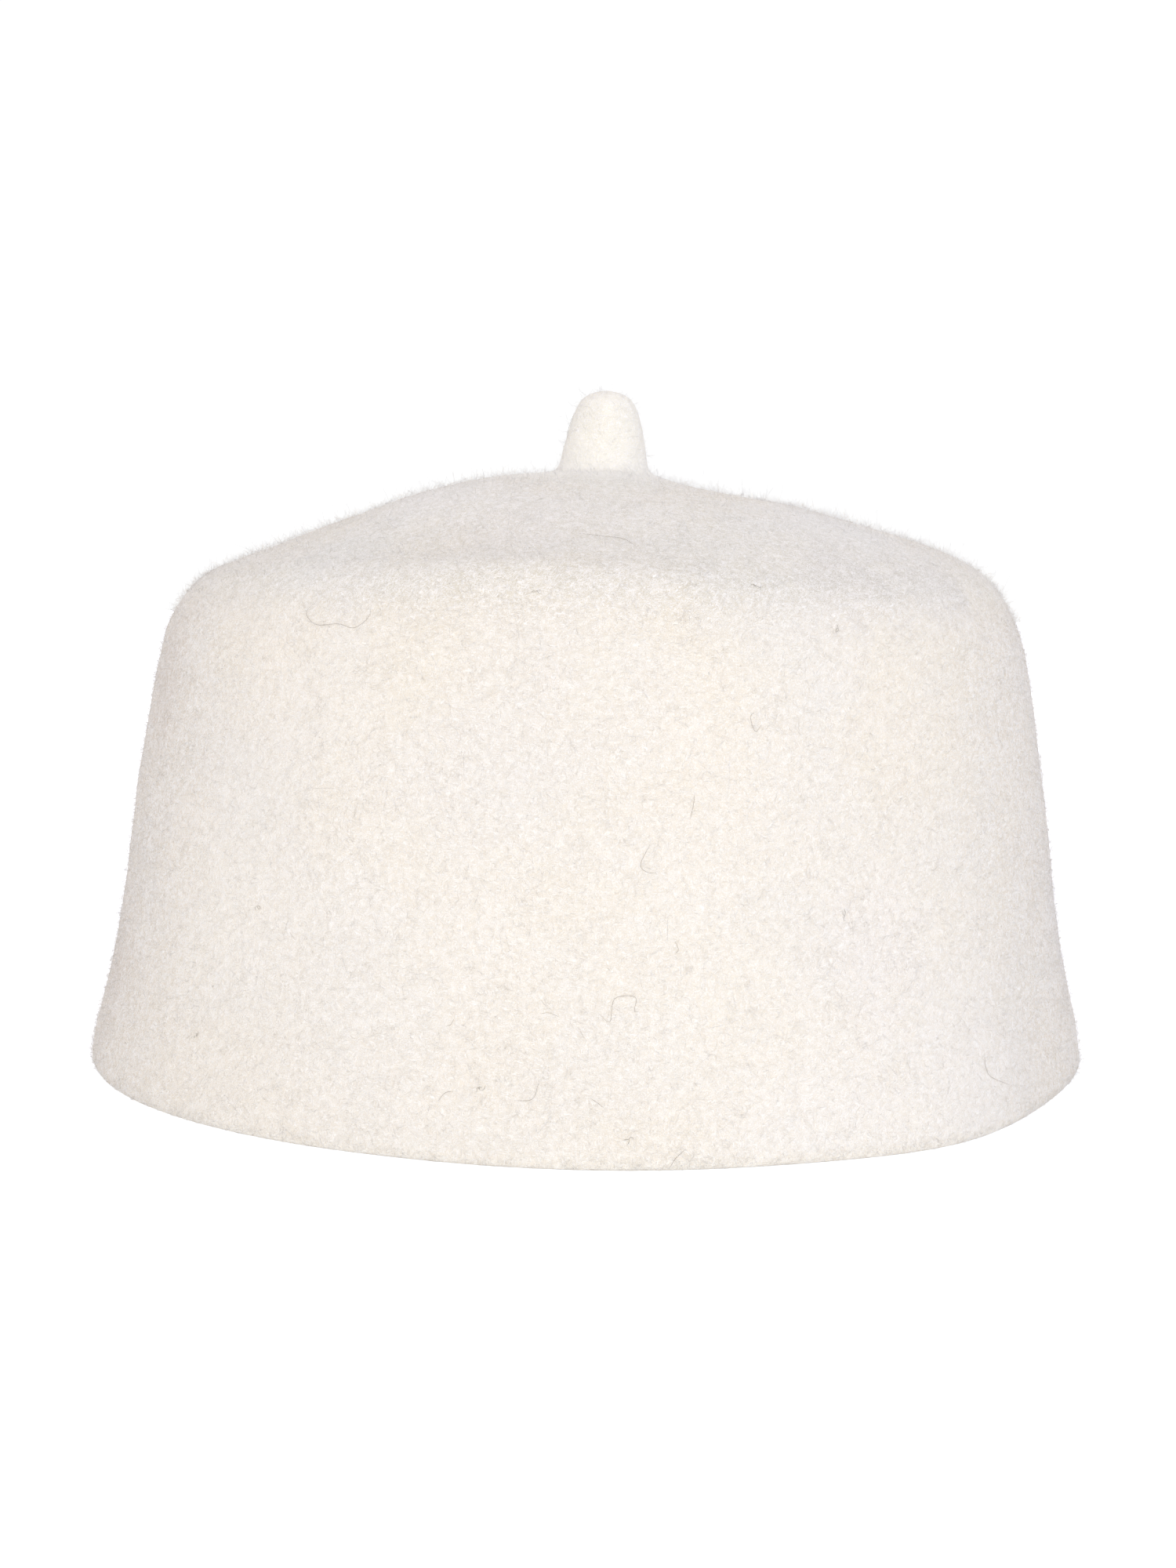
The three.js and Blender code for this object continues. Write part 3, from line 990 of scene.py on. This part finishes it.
def power_property(name, description, default):
    return FloatProperty(name=name, description=description, default=default, min=0.0, unit="POWER")


def strength_property(name, description, default, most=10.0):
    return FloatProperty(name=name, description=description, default=default, min=0.0, max=most)


def count_property(name, description, default, least, most):
    return IntProperty(name=name, description=description, default=default, min=least, max=most)


class FeltCapSettings(bpy.types.PropertyGroup):
    """Sizes and colours of the felt, its nap and its hairs."""

    felt_colour: shade_property("Felt", "Main colour of the felt", (0.93, 0.876, 0.772))
    warm_colour: shade_property("Warm blotch", "Colour where the wool is yellower", (0.91, 0.837, 0.69))
    grey_colour: shade_property("Grey blotch", "Colour where the wool is greyer", (0.905, 0.865, 0.785))
    shade_colour: shade_property("Hollow shade", "Tint of hollows on the wall", (0.79, 0.735, 0.655))
    crown_shade: shade_property("Crown shade", "Tint of hollows on the crown", (0.775, 0.765, 0.715))
    strand_colour: shade_property("Bright strand", "Colour of the palest fibres", (0.98, 0.96, 0.925))
    # Partly the stub's whiter wool and partly painted glow.
    stub_wool_and_glow: shade_property("Stub", "Colour of the stub's whiter wool and painted glow", (0.965, 0.922, 0.79))
    # Painted highlight at the stub's foot.
    foot_highlight_colour: shade_property("Stub foot highlight", "Painted highlight ring at the stub's foot", (0.99, 0.958, 0.86))
    white_wool: shade_property("White down", "Colour of the whiter down", (0.99, 0.975, 0.95))
    down_colour: shade_property("Cream down", "Colour of the creamier down", (0.98, 0.96, 0.92))
    grey_nap: shade_property("Grey nap", "Colour of the fibres that lie flat", (0.80, 0.755, 0.69))
    cream_wool: shade_property("Cream fuzz", "Colour of the cream fuzz", (0.80, 0.75, 0.67))
    grey_wool: shade_property("Grey fuzz", "Colour of the grey fuzz", (0.75, 0.715, 0.66))
    yellow_patch: shade_property("Yellow patch", "Tint of the yellower patches", (0.95, 0.885, 0.765))
    grey_patch: shade_property("Grey patch", "Tint of the greyer patches", (0.92, 0.916, 0.878))
    pale_patch: shade_property("Pale patch", "Tint of the paler patches", (0.97, 0.94, 0.885))
    pink_patch: shade_property("Pink patch", "Tint of the pinker patches", (0.94, 0.89, 0.85))
    # Painted shade at the left edge.
    painted_brown_shade: shade_property("Painted brown shade", "Tint of the brown shade painted at the left edge", (0.815, 0.735, 0.63))
    # Painted shade at the edges, the shoulders and the upper wall.
    painted_shade_patch: shade_property("Painted shade", "Tint of the painted shade", (0.85, 0.81, 0.75))
    # Painted light on the wall and along the hem.
    painted_light_patch: shade_property("Painted light", "Tint of the painted light on the wall and the hem", (0.97, 0.918, 0.81))
    hair_colour: shade_property("Stray hair", "Colour of the stray hairs", (0.42, 0.37, 0.31))
    speck_colour: shade_property("Speck", "Colour of the dark specks", (0.36, 0.33, 0.28))
    stub_paleness: strength_property("Stub paleness", "How far the stub has its own colour", 0.85, 1.0)
    mottle: strength_property("Mottle", "Strength of the fine mottling", 0.42, 1.0)
    # Painted shade: deeper mottling at both sides and on the crown.
    side_crown_shade_mottle: strength_property("Painted side and crown shade", "How much more at the sides and crown", 0.75)
    lump_height: length_property("Lump height", "How far the lumps stand proud", 0.35 * MM)
    nap_length: length_property("Nap length", "Length of a fibre that lies flat", 1.7 * MM)
    nap_width: length_property("Nap width", "Width of a fibre that lies flat", 0.045 * MM)
    fuzz_length: length_property("Fuzz length", "Length of a fibre that stands off", 1.7 * MM)
    fuzz_width: length_property("Fuzz width", "Width of a fibre that stands off", 0.045 * MM)
    hair_width: length_property("Hair width", "Width of a stray hair", 0.06 * MM)
    down_sheen: strength_property("Down sheen", "Soft glow of the down", 0.6, 1.0)
    down_length: length_property("Down length", "Length of the down", 3.4 * MM)
    down_width: length_property("Down width", "Width of the down", 0.04 * MM)
    stub_fuzz: strength_property("Stub fuzz", "How much denser the fibres are there", 1.3)
    body_levels: count_property("Smoothness", "Subdivision of the felt", 2, 1, 2)
    fibres_each: count_property("Fibres", "Number of bent fibres in a piece", 27000, 100, 33000)
    down_count: count_property("Down", "Number of straight fibres in a piece", 45000, 100, 49000)
    loose_hairs: count_property("Loose hairs", "Hairs out of the photo's view", 40, 1, 200)
    seed: count_property("Seed", "Start of the random numbers", 7, 0, 10000)


class StudioSettings(bpy.types.PropertyGroup):
    """Strengths and colours of the studio."""

    fill_colour: shade_property("Fill", "Colour of the light from all round", (0.94, 0.922, 0.985))
    fill_strength: strength_property("Fill strength", "Strength of the light from all round", 1.08)
    side_dimming: strength_property("Side dimming", "How much less comes from the sides", 0.42)
    front_colour: shade_property("Front", "Colour of the front and back lights", (0.985, 0.985, 0.93))
    front_power: power_property("Front power", "Power of the front light", 6.8)
    back_power: power_property("Back power", "Power of the back light", 4.0)
    right_colour: shade_property("Right", "Colour of the right light", (0.47, 0.65, 1.0))
    right_power: power_property("Right power", "Power of the right light", 1.9)
    stub_light: shade_property("Stub light", "Colour of the lights on the stub", (1.0, 0.96, 0.9))
    stub_power: power_property("Stub power", "Power of each light on the stub", 7.4)
    floor_colour: shade_property("Floor", "Colour of the floor", (0.87, 0.9, 0.95))
    floor_glow: strength_property("Floor glow", "How far the floor seems lit", 0.8)
    floor_bounce: strength_property("Floor bounce", "Light that the floor gives off", 0.1)
    floor_radius: length_property("Floor radius", "Half the floor's width", 6.0)


class FELTCAP_OT_body(bpy.types.Operator):
    """Make the felt body in place of the solid cap"""

    bl_idname = "felt_cap.body"
    bl_label = "Felt Body"

    def execute(self, context):
        build_body(context.scene.felt_cap)
        return {"FINISHED"}


class FELTCAP_OT_nap(bpy.types.Operator):
    """Make the nap of short fibres on the felt body"""

    bl_idname = "felt_cap.nap"
    bl_label = "Nap"

    def execute(self, context):
        build_nap(context.scene.felt_cap)
        return {"FINISHED"}


class FELTCAP_OT_hairs(bpy.types.Operator):
    """Make the stray hairs and dark specks on the felt body"""

    bl_idname = "felt_cap.hairs"
    bl_label = "Stray Hairs"

    def execute(self, context):
        build_hairs(context.scene.felt_cap)
        return {"FINISHED"}


class FELTCAP_OT_studio(bpy.types.Operator):
    """Make the pale floor, the soft light and the camera"""

    bl_idname = "felt_cap.studio"
    bl_label = "Studio"

    def execute(self, context):
        build_studio(context.scene.felt_studio)
        return {"FINISHED"}


OPERATORS = (FELTCAP_OT_studio, FELTCAP_OT_body, FELTCAP_OT_nap, FELTCAP_OT_hairs)


class FELTCAP_PT_panel(bpy.types.Panel):
    """The cap's pieces and their settings"""

    bl_idname = "FELTCAP_PT_panel"
    bl_label = "Felt Cap"
    bl_space_type = "VIEW_3D"
    bl_region_type = "UI"
    bl_category = "Felt Cap"

    def draw(self, context):
        for operator in OPERATORS:
            self.layout.operator(operator.bl_idname)
        for settings in (context.scene.felt_cap, context.scene.felt_studio):
            column = self.layout.column()
            for name in settings.__annotations__:
                column.prop(settings, name)


CLASSES = (FeltCapSettings, StudioSettings, *OPERATORS, FELTCAP_PT_panel)


def register():
    for each in CLASSES:
        bpy.utils.register_class(each)
    bpy.types.Scene.felt_cap = PointerProperty(type=FeltCapSettings)
    bpy.types.Scene.felt_studio = PointerProperty(type=StudioSettings)


def unregister():
    del bpy.types.Scene.felt_studio
    del bpy.types.Scene.felt_cap
    for each in reversed(CLASSES):
        bpy.utils.unregister_class(each)


def main():
    register()
    bpy.ops.felt_cap.studio()
    bpy.ops.felt_cap.body()
    bpy.ops.felt_cap.nap()
    bpy.ops.felt_cap.hairs()


if __name__ == "__main__":
    main()
